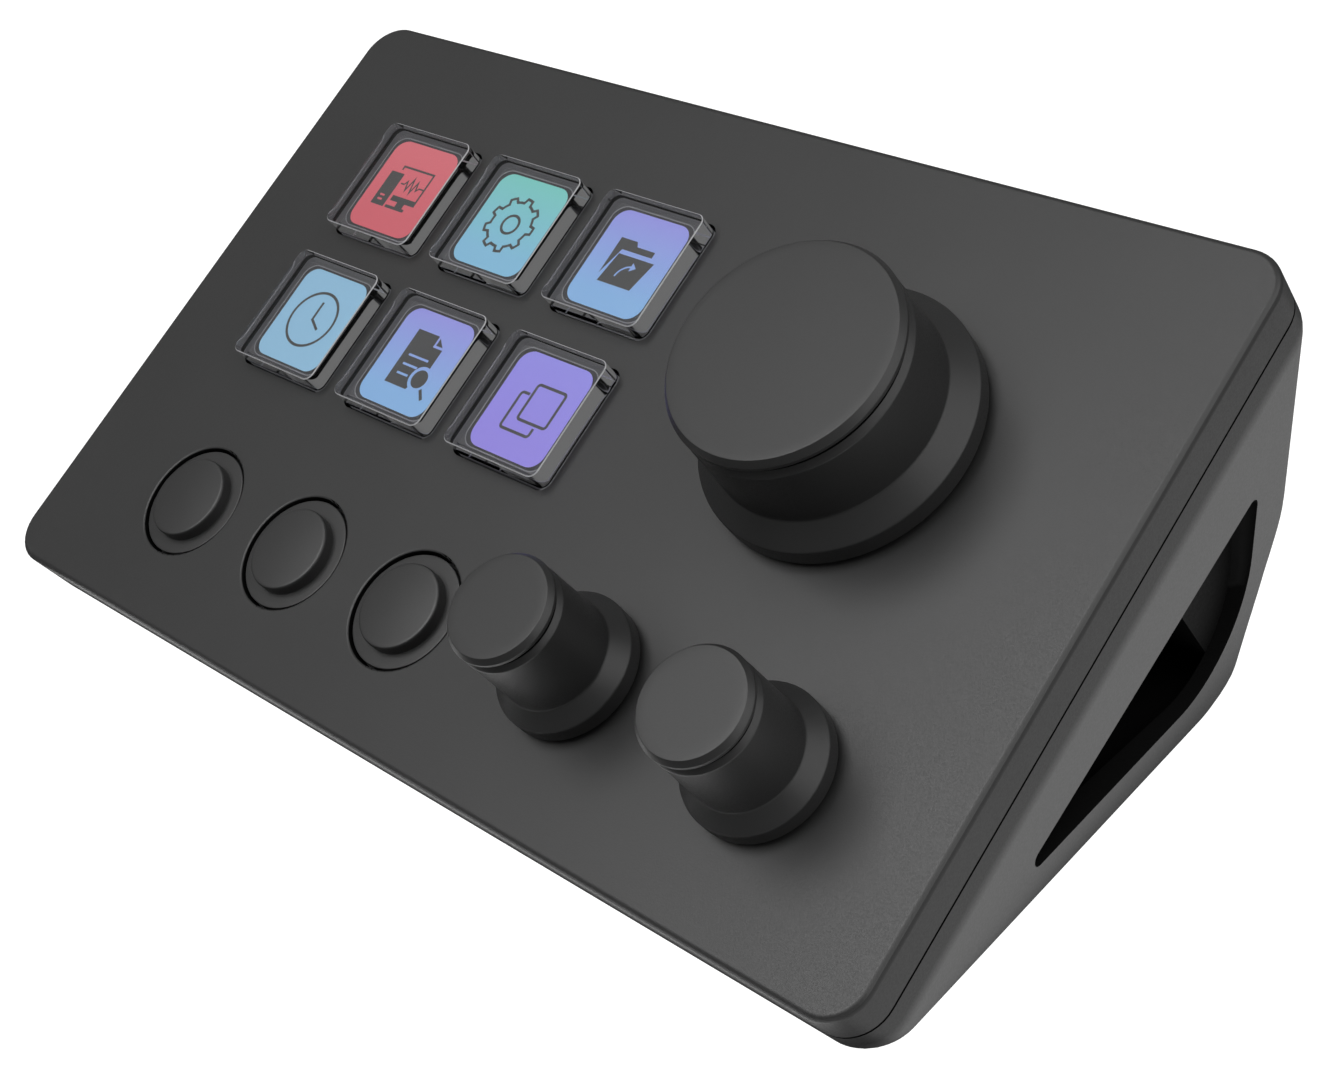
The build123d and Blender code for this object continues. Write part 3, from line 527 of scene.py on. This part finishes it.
# ---------------------------------------------------------------- knobs, radii and levels in mm
# cone and wall give the radius and level of their upper ends
KNOB_SHAPES = {
    "large": {
        "hollow": 10.8, "hollow_top": 9.85, "flange_top": 2.8, "cone": (12.5, 4.86), "wall": (12.35, 12.35),
        "shoulder": 11.85, "spigot": 10.58, "neck": 11.25, "neck_top": 13.8, "rim_top": 14.2, "top": 11.83,
    },
    "small": {
        "flange_top": 2.5, "cone": (5.88, 4.0), "wall": (5.8, 12.13), "shoulder": 5.38, "spigot": 4.14,
        "neck": 4.9, "neck_top": 13.34, "rim_top": 13.7, "top": 5.37,
    },
}
BORE = 3.02
BORE_TOP = 9.5
BUSH_ROOM = 4.1
BUSH_TOP = 3.3
HUB = 5.9
SEAT_PLAY = 0.05
FLANGE_FOOT_CUT = 0.2
FLANGE_EDGE = 0.16
CONE_EDGE = 0.2
SHOULDER_EDGE = 0.1
CAP_SHARP_EDGE = 0.05
FINE_EDGE = 0.08
TOP_RUN = 1.0                  # width of the outermost faces of the cap's flat top
GROOVE_MARGIN = 0.03


def knob_body_profile(shape, flange, foot, shoulder_level, cap_foot):
    """Outline of a knob's body from its bore, down and round its underside, up its flange, cone and
    wall, over its shoulder and into the seat of its cap."""
    inner = [(BORE, BORE_TOP), (BORE, BUSH_TOP), (BUSH_ROOM, BUSH_TOP), (BUSH_ROOM, foot)]
    if "hollow" in shape:
        inner += [(HUB, foot), (HUB, shape["hollow_top"]), (shape["hollow"], shape["hollow_top"]),
                  (shape["hollow"], foot)]
    seat = shape["spigot"] + SEAT_PLAY
    outer = [(flange - FLANGE_FOOT_CUT, foot), (flange, foot + FLANGE_FOOT_CUT),
             (flange, shape["flange_top"]), shape["cone"], shape["wall"],
             (shape["shoulder"], shoulder_level), (seat, shoulder_level), (seat, cap_foot - SEAT_PLAY)]
    corners = inner + outer
    cuts = [FINE_EDGE] * (len(corners) - 2)
    flange_corner = len(inner) + 1
    cuts[flange_corner:flange_corner + 3] = FLANGE_EDGE, CONE_EDGE, SHOULDER_EDGE
    return eased(corners, cuts)


def knob_cap_profile(shape, rim, foot, shoulder_level, top):
    """Outline of the disc on a knob: spigot, neck of the groove painted dark as shade, rim, edge slope
    and top.
    """
    corners = [(shape["spigot"], foot), (shape["spigot"], shoulder_level), (shape["neck"], shoulder_level),
               (shape["neck"], shape["neck_top"]), (rim, shape["neck_top"]), (rim, shape["rim_top"]),
               (shape["top"], top), (shape["top"] - TOP_RUN, top)]
    cuts = [0.0, FINE_EDGE, FINE_EDGE, CAP_SHARP_EDGE, CAP_SHARP_EDGE, CAP_SHARP_EDGE]
    return eased(corners, cuts)


def dress_knobs():
    """Body and cap of each knob, painted black as shade in the groove between the body's shoulder and the
    cap's rim.
    """
    for side in ("large", "left", "right"):
        shape = KNOB_SHAPES["large" if side == "large" else "small"]
        centre, flange, foot, shoulder_level = round_size(f"{side}_knob")
        _, rim, cap_foot, top = round_size(f"{side}_knob_cap")
        body = knob_body_profile(shape, flange, foot, shoulder_level, cap_foot)
        cap = knob_cap_profile(shape, rim, cap_foot, shoulder_level, top)
        for part, profile in (("knob", body), ("knob_cap", cap)):
            skin = add_surface(f"{side}_{part}_skin", turned(profile * MM, centre), KNOB_PLASTIC,
                               f"{side}_spin", (f"{side}_{part}",))
            level = (face_centres(skin.data) @ OUT - FACE) / MM
            if part == "knob":
                groove = level > shoulder_level - GROOVE_MARGIN
            else:
                groove = level < shape["neck_top"] + GROOVE_MARGIN
            # faces in the groove get painted shade
            paint(skin, groove, INNER_PAINTED_SHADE)


# ---------------------------------------------------------------- round buttons, radii and levels in mm
BUTTON_STEM = 1.6
FLANGE_FOOT = -3.1
FLANGE_TOP = -2.1
BUTTON_SKIRT = 6.6
SKIRT_TOP = -0.3
SKIRT_EDGE = 0.14
BUTTON_CAP = 4.95
CAP_EDGE_LEVEL = 1.05
CAP_EDGE = 0.45
DOME_STEPS = 12
DOME_MIDDLE = 0.3              # radius of the one face in the dome's middle


def button_profile(stem_foot, flange, top):
    """Outline of a round button: stem, flange, skirt, cap wall and a shallow dome, whose level
    falls from the top with the square of the radius."""
    radius = np.linspace(BUTTON_CAP, DOME_MIDDLE, DOME_STEPS)
    dome = np.column_stack((radius, top - (top - CAP_EDGE_LEVEL) * (radius / BUTTON_CAP) ** 2))
    corners = [(BUTTON_STEM, stem_foot), (BUTTON_STEM, FLANGE_FOOT), (flange, FLANGE_FOOT),
               (flange, FLANGE_TOP), (BUTTON_SKIRT, FLANGE_TOP), (BUTTON_SKIRT, SKIRT_TOP),
               (BUTTON_CAP, SKIRT_TOP)]
    cuts = [0.0, FINE_EDGE, FINE_EDGE, 0.0, SKIRT_EDGE, 0.0, CAP_EDGE] + [0.0] * (DOME_STEPS - 2)
    return eased(np.vstack((corners, dome)), cuts)


def dress_buttons():
    """Each round button as one turned piece."""
    for number in (1, 2, 3):
        centre, flange, stem_foot, top = round_size(f"round_button_{number}")
        profile = button_profile(stem_foot, flange, top)
        add_surface(f"round_button_{number}_skin", turned(profile * MM, centre), BUTTON_PLASTIC,
                    f"button_{number}", (f"round_button_{number}",))


# ---------------------------------------------------------------- keys
KEY_CORNER = 1.1 * MM
KEY_EDGE = 0.1 * MM            # slanted edge round the clear block's top
KEY_FOOT = -0.15 * MM          # clear block's underside
SHADOW_FOOT_TOP = 0.05 * MM          # upper end of the block's black foot, a painted shadow
FOOT_INSET = 0.3 * MM          # width of the outermost faces of the block's underside
TOP_INSET = 0.6 * MM           # from its sides to the one face of its top
DISPLAY_LEVEL = -0.36 * MM     # display's upper side
TILE_CORNER = 0.4 * MM
TILE_INSET = 0.3 * MM
TILE_CUTS = (0.05 * MM, 0.1 * MM)
PICTURE_HALF = np.array((5.6, 6.1)) * MM
PICTURE_CORNER = 1.8 * MM
BORDER_HALF = np.array((6.2, 6.5)) * MM
BORDER_LINE = 0.13 * MM        # width of the painted highlight round the display's border
INK = 0.02 * MM                # thickness of what is printed
INK_STEP = INK / 2             # each printed layer starts so much over the one before
UPWARD = 0.9                   # where normal . out is more, a face of a carrier looks up


def dress_keys():
    """Clear block, display, picture and carrier of each key."""
    for number in range(1, 7):
        low, high = panel_box(f"key_cap_{number}")
        centre, half = (low + high) / 2, (high - low)[:2] / 2
        add_block(number, centre, half, high[2])
        add_display(number, centre)
        add_picture(number, centre)
        add_carrier(number, centre, half)


def add_block(number, centre, half, top):
    """Clear block of a key, with a black foot that is painted shadow and a slanted edge that glows as a
    painted highlight. Its strips of faces are the underside's rim, the foot, the clear sides, the edge and
    the top's rim."""
    profile = ((FOOT_INSET, KEY_FOOT), (0.0, KEY_FOOT), (0.0, SHADOW_FOOT_TOP), (0.0, top - KEY_EDGE),
               (KEY_EDGE, top), (TOP_INSET, top))
    grid = drawn(profile, centre, half, KEY_CORNER)
    block = add_surface(f"clear_block_{number}", grid, CLEAR_ACRYLIC, f"key_{number}",
                        (f"key_cap_{number}",))
    strips = np.repeat((0, 1, 0, 2, 0), grid.shape[1])
    ends = (0, 0)
    # the foot strip is painted black as shadow, the edge strip glows as a painted highlight
    paint(block, np.concatenate((strips, ends)), BLACK_PLASTIC_AND_SHADOW, EDGE_PAINTED_HIGHLIGHT)


def add_display(number, centre):
    """Display tile of a key, glowing as painted light, the dark border printed on it and a painted highlight
    round the border.
    """
    low, high = panel_box(f"key_display_{number}")
    tile = eased(((TILE_INSET, low[2]), (0.0, low[2]), (0.0, DISPLAY_LEVEL), (TILE_INSET, DISPLAY_LEVEL)),
                 TILE_CUTS, steps=3)
    add_surface(f"display_frame_{number}", drawn(tile, centre, (high - low)[:2] / 2, TILE_CORNER, steps=4),
                CARRIER_PAINTED_LIGHT, f"key_{number}", (f"key_display_{number}",))
    border = ((0.0, DISPLAY_LEVEL - INK), (0.0, DISPLAY_LEVEL + INK))
    add_surface(f"display_border_{number}", drawn(border, centre, BORDER_HALF, PICTURE_CORNER),
                DISPLAY_GLASS, f"key_{number}")
    # a thin glowing ring: painted highlight
    edge = ((0.0, DISPLAY_LEVEL), (0.0, DISPLAY_LEVEL + 2 * INK), (BORDER_LINE, DISPLAY_LEVEL + 2 * INK),
            (BORDER_LINE, DISPLAY_LEVEL))
    add_surface(f"display_edge_highlight_{number}", drawn(edge, centre, BORDER_HALF, PICTURE_CORNER),
                BORDER_PAINTED_HIGHLIGHT, f"key_{number}", looped=True)


def add_carrier(number, centre, half):
    """Black carrier of a key, with a painted glow of light where it looks up at the clear block."""
    carrier = finished_copy(f"key_carrier_{number}", f"carrier_{number}_skin", BLACK_PLASTIC_AND_SHADOW,
                            f"key_{number}")
    place = (face_centres(carrier.data) @ PANEL.T)[:, :2] - centre[:2]
    upward = face_normals(carrier.data) @ OUT > UPWARD
    # faces under the block that look up glow as painted light
    paint(carrier, upward & (np.abs(place) < half).all(1), CARRIER_PAINTED_LIGHT)


# ---------------------------------------------------------------- pictures
# Each picture is drawn in mm from its middle, as layers: parts of a layer are printed in the glyph's ink
# or left in the picture's own colour, and each layer lies on the one before.
INKED, BARE = True, False
THIN_LINE = 0.2
LINE = 0.27
THICK_LINE = 0.35
HANDLE_LINE = 0.4
TOOTH_HALF = 0.17              # of a gear's pitch, from a tooth's middle to the end of its tip
GAP_START = 0.27               # and to the start of the gap beside it

PICTURE_COLOURS = {            # at the lower and the upper edge
    1: ((0.62, 0.13, 0.16), (0.68, 0.17, 0.2)),
    2: ((0.24, 0.5, 0.7), (0.2, 0.6, 0.5)),
    3: ((0.25, 0.45, 0.75), (0.32, 0.28, 0.75)),
    4: ((0.28, 0.5, 0.69), (0.28, 0.5, 0.69)),
    5: ((0.25, 0.45, 0.75), (0.32, 0.28, 0.75)),
    6: ((0.3, 0.25, 0.75), (0.3, 0.28, 0.78)),
}
INK_TONE = 0.07
GLYPH_INK = self_lit("glyph_ink", grey(INK_TONE)).material


def picture_light(name, bottom, top, centre):
    """Self-lit picture: a colour run from its lower to its upper edge."""
    finish = self_lit(name, bottom)
    split = finish.tree.nodes.new("ShaderNodeSeparateXYZ")
    finish.link(finish.coordinates, split.inputs["Vector"])
    edges = [from_panel((centre[0], centre[1] + side * PICTURE_HALF[1], centre[2]))[2] for side in (-1, 1)]
    finish.tint(finish.mapped(split.outputs["Z"], edges), (0.0, 1.0), (bottom, top), "Emission Color")
    return finish.material


def arc(middle, radius, start, end, steps):
    """Points middle + radius * (cos a, sin a) for angles from start to end, in degrees."""
    angle = np.radians(np.linspace(start, end, steps + 1))
    return np.column_stack((middle[0] + radius * np.cos(angle), middle[1] + radius * np.sin(angle)))


def circle(middle, radius, steps=48):
    """Closed outline of a circle, without its start twice."""
    return arc(middle, radius, 0.0, 360.0, steps)[:-1]


def rectangle(low, high):
    """Corners of a rectangle, from its low corner by way of the right to its high corner and on."""
    return np.array(((low[0], low[1]), (high[0], low[1]), (high[0], high[1]), (low[0], high[1])))


def rounded(low, high, radius, steps=6):
    """Outline of a rectangle from its low to its high corner, with round corners."""
    low, high = np.array(low), np.array(high)
    return rounded_outline((high - low) / 2, radius, steps) + (low + high) / 2


def gear_outline(teeth, root, tip, steps=4):
    """Outline of a gear: each tooth is an arc at the tip radius between two slanting flanks, and each
    gap is an arc at the root radius."""
    pitch = 360.0 / teeth
    parts = []
    for tooth in range(teeth):
        middle = tooth * pitch
        parts.append(arc((0, 0), tip, middle - TOOTH_HALF * pitch, middle + TOOTH_HALF * pitch, steps))
        parts.append(arc((0, 0), root, middle + GAP_START * pitch, middle + (1 - GAP_START) * pitch, steps))
    return np.concatenate(parts)


def stroke(path, width, closed=False):
    """Line of a width along a path: at each point the two edge points lie half the width to the sides,
    along the mean of the normals of the runs that meet there, lengthened by 1 / cos of half their turn."""
    path = np.asarray(path, float)
    ahead = np.roll(path, -1, 0) - path
    ahead /= np.linalg.norm(ahead, axis=1, keepdims=True)
    behind = np.roll(ahead, 1, 0)
    if not closed:
        ahead[-1], behind[0] = behind[-1], ahead[0]
    normal = np.column_stack((-(ahead + behind)[:, 1], (ahead + behind)[:, 0])) / 2
    offset = normal / (normal ** 2).sum(1, keepdims=True) * width / 2
    return ("stroke", np.stack((path + offset, path - offset), 1), closed)


def plate(outline):
    """Flat form inside an outline."""
    return ("plate", np.asarray(outline, float), False)


SCREEN_EDGE = ((-2.2, 2.3), (-2.2, 2.8), (3.25, 2.8), (3.25, -1.1))
PULSE = ((-1.0, 0.6), (-0.4, 0.6), (-0.1, 1.1), (0.3, -0.1), (0.75, 1.6), (1.2, -0.3), (1.65, 1.3),
         (2.0, 0.2), (2.35, 0.6), (3.2, 0.6))
FOLDER_BACK = ((-2.95, -2.0), (-2.95, 2.75), (-0.5, 2.75), (-0.1, 2.15), (2.6, 2.15), (2.6, 1.4), (-1.9, 1.4))
FOLDER_FRONT = ((-2.55, -2.9), (2.45, -2.9), (3.4, 0.85), (-1.95, 0.85))
ARROW_LINE = np.concatenate((arc((1.1, -2.0), 1.75, 175.0, 105.0, 10), ((1.1, -0.25),)))
ARROW_HEAD = ((0.75, 0.25), (1.5, -0.3), (0.75, -0.85))
PAGE = ((-2.65, 3.7), (0.9, 3.7), (0.9, 2.25), (2.5, 2.25), (2.5, -0.2), (1.0, -3.4), (-2.65, -3.4))
PAGE_CORNER = ((1.2, 3.5), (1.2, 2.55), (2.3, 2.55))
PAGE_LINES = ((0.5, 1.6), (-0.7, 0.7), (-1.9, 0.1))     # level, and where each ends
LENS = (2.05, -1.75)
REAR_WINDOW = np.concatenate((((1.95, -2.0), (1.95, -2.6)), arc((1.55, -2.7), 0.4, 0.0, -90.0, 6),
                              arc((-2.1, -2.7), 0.4, -90.0, -180.0, 6), arc((-2.1, 1.0), 0.4, 180.0, 90.0, 6),
                              ((-1.3, 1.4),)))

PICTURES = {
    # computer with a pulse line on its screen
    1: ((INKED, [plate(rounded((-3.7, -2.9), (-1.4, 1.85), 0.12)),
                 plate(rectangle((-0.95, -1.85), (3.4, -1.1))),
                 plate(rectangle((0.45, -2.5), (1.75, -1.8))),
                 plate(rounded((-1.1, -2.9), (2.25, -2.5), 0.12)),
                 stroke(SCREEN_EDGE, LINE),
                 stroke(PULSE, THIN_LINE)]),
        (BARE, [plate(rounded((-3.05, -1.6), (-2.25, -1.35), 0.1)),
                plate(rounded((-3.05, -2.2), (-2.25, -1.95), 0.1))])),
    # gear
    2: ((INKED, [stroke(gear_outline(9, 3.0, 3.6), THICK_LINE, closed=True),
                 stroke(circle((0.0, 0.0), 1.2), THICK_LINE, closed=True)]),),
    # open folder with an arrow
    3: ((INKED, [plate(FOLDER_BACK)]),
        (INKED, [plate(FOLDER_FRONT)]),
        (BARE, [stroke(ARROW_LINE, THIN_LINE), plate(ARROW_HEAD)])),
    # clock
    4: ((INKED, [stroke(circle((0.0, 0.0), 3.6), THICK_LINE, closed=True),
                 stroke(((0.0, 2.4), (0.0, 0.0), (1.7, -1.0)), THICK_LINE)]),),
    # page under a magnifying glass
    5: ((INKED, [plate(PAGE), plate(PAGE_CORNER)]),
        (BARE, [stroke(((-1.7, level), (end, level)), LINE) for level, end in PAGE_LINES]
         + [plate(circle(LENS, 1.6))]),
        (INKED, [plate(circle(LENS, 1.15)), stroke(((3.1, -2.8), (4.1, -3.9)), HANDLE_LINE)])),
    # window before another
    6: ((INKED, [stroke(rounded((-0.95, -1.6), (3.4, 2.8), 0.4), THICK_LINE, closed=True),
                 stroke(REAR_WINDOW, THICK_LINE)]),),
}


def printed(part, centre, level):
    """Grid of a printed part, INK thick: rings of four points along a stroke, or a plate's lower and
    upper outline."""
    kind, points, closed = part
    flat = points * MM + centre[:2]
    low, high = (np.concatenate((flat, np.full(flat.shape[:-1] + (1,), height)), -1)
                 for height in (level, level + INK))
    if kind == "stroke":
        return np.concatenate((low, high[:, ::-1]), 1), closed
    return np.stack((low, high)), closed


def add_picture(number, centre):
    """Self-lit surface of a key's display, and one piece for each layer of its picture."""
    level = DISPLAY_LEVEL + INK
    material = picture_light(f"picture_{number}", *PICTURE_COLOURS[number], centre)
    surface = ((0.0, level - INK), (0.0, level + INK))
    add_surface(f"picture_{number}", drawn(surface, centre, PICTURE_HALF, PICTURE_CORNER), material,
                f"key_{number}")
    for layer, (dark, parts) in enumerate(PICTURES[number]):
        points, faces = [], []
        for part in parts:
            grid, looped = printed(part, centre, level + INK_STEP * (1 + layer))
            start = sum(len(block) for block in points)
            faces += [[start + index for index in face] for face in closed_grid(grid, looped)]
            points.append(from_panel(grid).reshape(-1, 3))
        add_piece(f"glyph_{number}_{layer}", np.concatenate(points), faces, GLYPH_INK if dark else material,
                  f"key_{number}")


# ---------------------------------------------------------------- inner pieces keep their CAD shape
INNER = {
    "rubber_feet": FOOT_RUBBER, "main_board": SOLDER_MASK, "port_board": SOLDER_MASK, "port_socket": NICKEL,
    "link_ribbon": RIBBON_FILM, "board_screws": NICKEL, "case_screws": NICKEL, "key_guide": BLACK_PLASTIC_AND_SHADOW,
    "key_switches": BLACK_PLASTIC_AND_SHADOW, "button_switches": BLACK_PLASTIC_AND_SHADOW,
}
for part, material in (("encoder", NICKEL), ("encoder_shaft", NICKEL), ("encoder_plunger", BLACK_PLASTIC_AND_SHADOW)):
    INNER.update({f"{side}_{part}": material for side in ("large", "left", "right")})


def dress_inner():
    """Finishes of the CAD nodes that show as they are."""
    for node, material in INNER.items():
        mesh = nodes[node].data
        mesh.materials.clear()
        mesh.materials.append(material)


# ---------------------------------------------------------------- studio
STAGE_REACH = 6.0              # to every side, and up
FLOOR_GLOW = 0.95
FLOOR_TONE = 0.8
BACKDROP_GLOW = 1.2
BACKDROP_SIDES = 64
GROUND_DEPTH = 0.2 * MM        # under the table's level
GROUND_GLOW = 0.12
CARD_DEPTH = 0.1 * MM
RIGHT_CARD_WIDTH = 200 * MM
RIGHT_CARD_FRONT = 20 * MM     # how far it reaches before the object
RIGHT_CARD_REAR = 100 * MM     # and behind it
RIGHT_CARD_GLOW = 1.2
FRONT_CARD_REACH = 9 * MM
FRONT_CARD_GLOW = 2.7
WORLD_GLOW = 0.155
LIGHTS = (                     # name, place, what it aims at, size, radiance, seen through the clear blocks
    ("overhead", (-0.42, -0.74, 1.0), (-0.42, -0.74, 0.0), (0.5, 1.1), 5.6, True),
    ("top", (0.2, -0.45, 1.0), (0.2, -0.45, 0.0), (0.7, 0.9), 1.5, False),
    ("corner", (-0.3, 0.0, 1.0), (-0.3, 0.0, 0.0), (0.3, 0.3), 4.0, False),
    ("fill", (0.9, 0.2, 0.75), (0.0, 0.0, 0.0), (1.5, 1.5), 1.35, False),
)


def glowing(name, glow, tone=0.0):
    """Matt surface of a tone that glows white."""
    return Finish(name, Base_Color=grey(tone), Roughness=1.0, Specular_IOR_Level=0.0,
                  Emission_Color=grey(1.0), Emission_Strength=glow).material


def sheet(name, low, high, level, material, seen):
    """Flat stage piece from a low to a high corner."""
    points = [(*corner, level) for corner in rectangle(low, high)]
    stage_piece(name, points, [(0, 1, 2, 3)], material, seen)


def stage_piece(name, points, faces, material, seen):
    """Part of the stage. Either only the camera sees it, or only the object does."""
    mesh = bpy.data.meshes.new(name)
    mesh.from_pydata(points, [], faces)
    mesh.materials.append(material)
    holder = bpy.data.objects.new(name, mesh)
    bpy.context.scene.collection.objects.link(holder)
    holder.visible_camera = seen
    for ray in ("diffuse", "glossy", "transmission", "shadow"):
        setattr(holder, f"visible_{ray}", not seen)


def add_stage():
    """White floor and backdrop that the camera sees, and, for the object alone, a dim ground with
    bright cards to the right of the stand and before it."""
    low, high = np.array(cad_bounds)
    level = low[2]
    near, far = (-STAGE_REACH, -STAGE_REACH), (STAGE_REACH, STAGE_REACH)
    sheet("floor", near, far, level, glowing("floor_paper", FLOOR_GLOW, FLOOR_TONE), seen=True)
    sheet("ground", near, far, level - GROUND_DEPTH, glowing("ground_glow", GROUND_GLOW), seen=False)
    sheet("right_card", (high[0], low[1] - RIGHT_CARD_FRONT),
          (high[0] + RIGHT_CARD_WIDTH, high[1] + RIGHT_CARD_REAR), level - CARD_DEPTH,
          glowing("card_glow", RIGHT_CARD_GLOW), seen=False)
    sheet("front_card", (low[0], low[1] - FRONT_CARD_REACH), (high[0], low[1]), level - CARD_DEPTH,
          glowing("front_glow", FRONT_CARD_GLOW), seen=False)
    ring = circle((0, 0), STAGE_REACH, BACKDROP_SIDES)
    wall = np.stack([np.column_stack((ring, np.full(BACKDROP_SIDES, height)))
                     for height in (level, level + STAGE_REACH)])
    stage_piece("backdrop", wall.reshape(-1, 3).tolist(), closed_grid(wall),
                glowing("backdrop_paper", BACKDROP_GLOW), seen=True)


def soft_light(name, place, aim, size, radiance, through_glass):
    """Area light of a radiance: its power is radiance * pi * its area."""
    light = bpy.data.lights.new(name, "AREA")
    light.shape = "RECTANGLE"
    light.size, light.size_y = size
    light.energy = radiance * pi * size[0] * size[1]
    holder = bpy.data.objects.new(name, light)
    holder.location = place
    holder.rotation_euler = (Vector(aim) - Vector(place)).to_track_quat("-Z", "Y").to_euler()
    holder.visible_camera = False
    holder.visible_transmission = through_glass
    bpy.context.scene.collection.objects.link(holder)


def add_lights():
    """Even light from all sides, and the area lights."""
    world = bpy.data.worlds.new("studio")
    world.use_nodes = True
    background = world.node_tree.nodes["Background"]
    background.inputs["Color"].default_value = (1.0, 1.0, 1.0, 1.0)
    background.inputs["Strength"].default_value = WORLD_GLOW
    bpy.context.scene.world = world
    for light in LIGHTS:
        soft_light(*light)


bpy.context.scene.view_settings.view_transform = "Standard"
add_camera()
dress_casing()
dress_knobs()
dress_buttons()
dress_keys()
dress_inner()
add_stage()
add_lights()
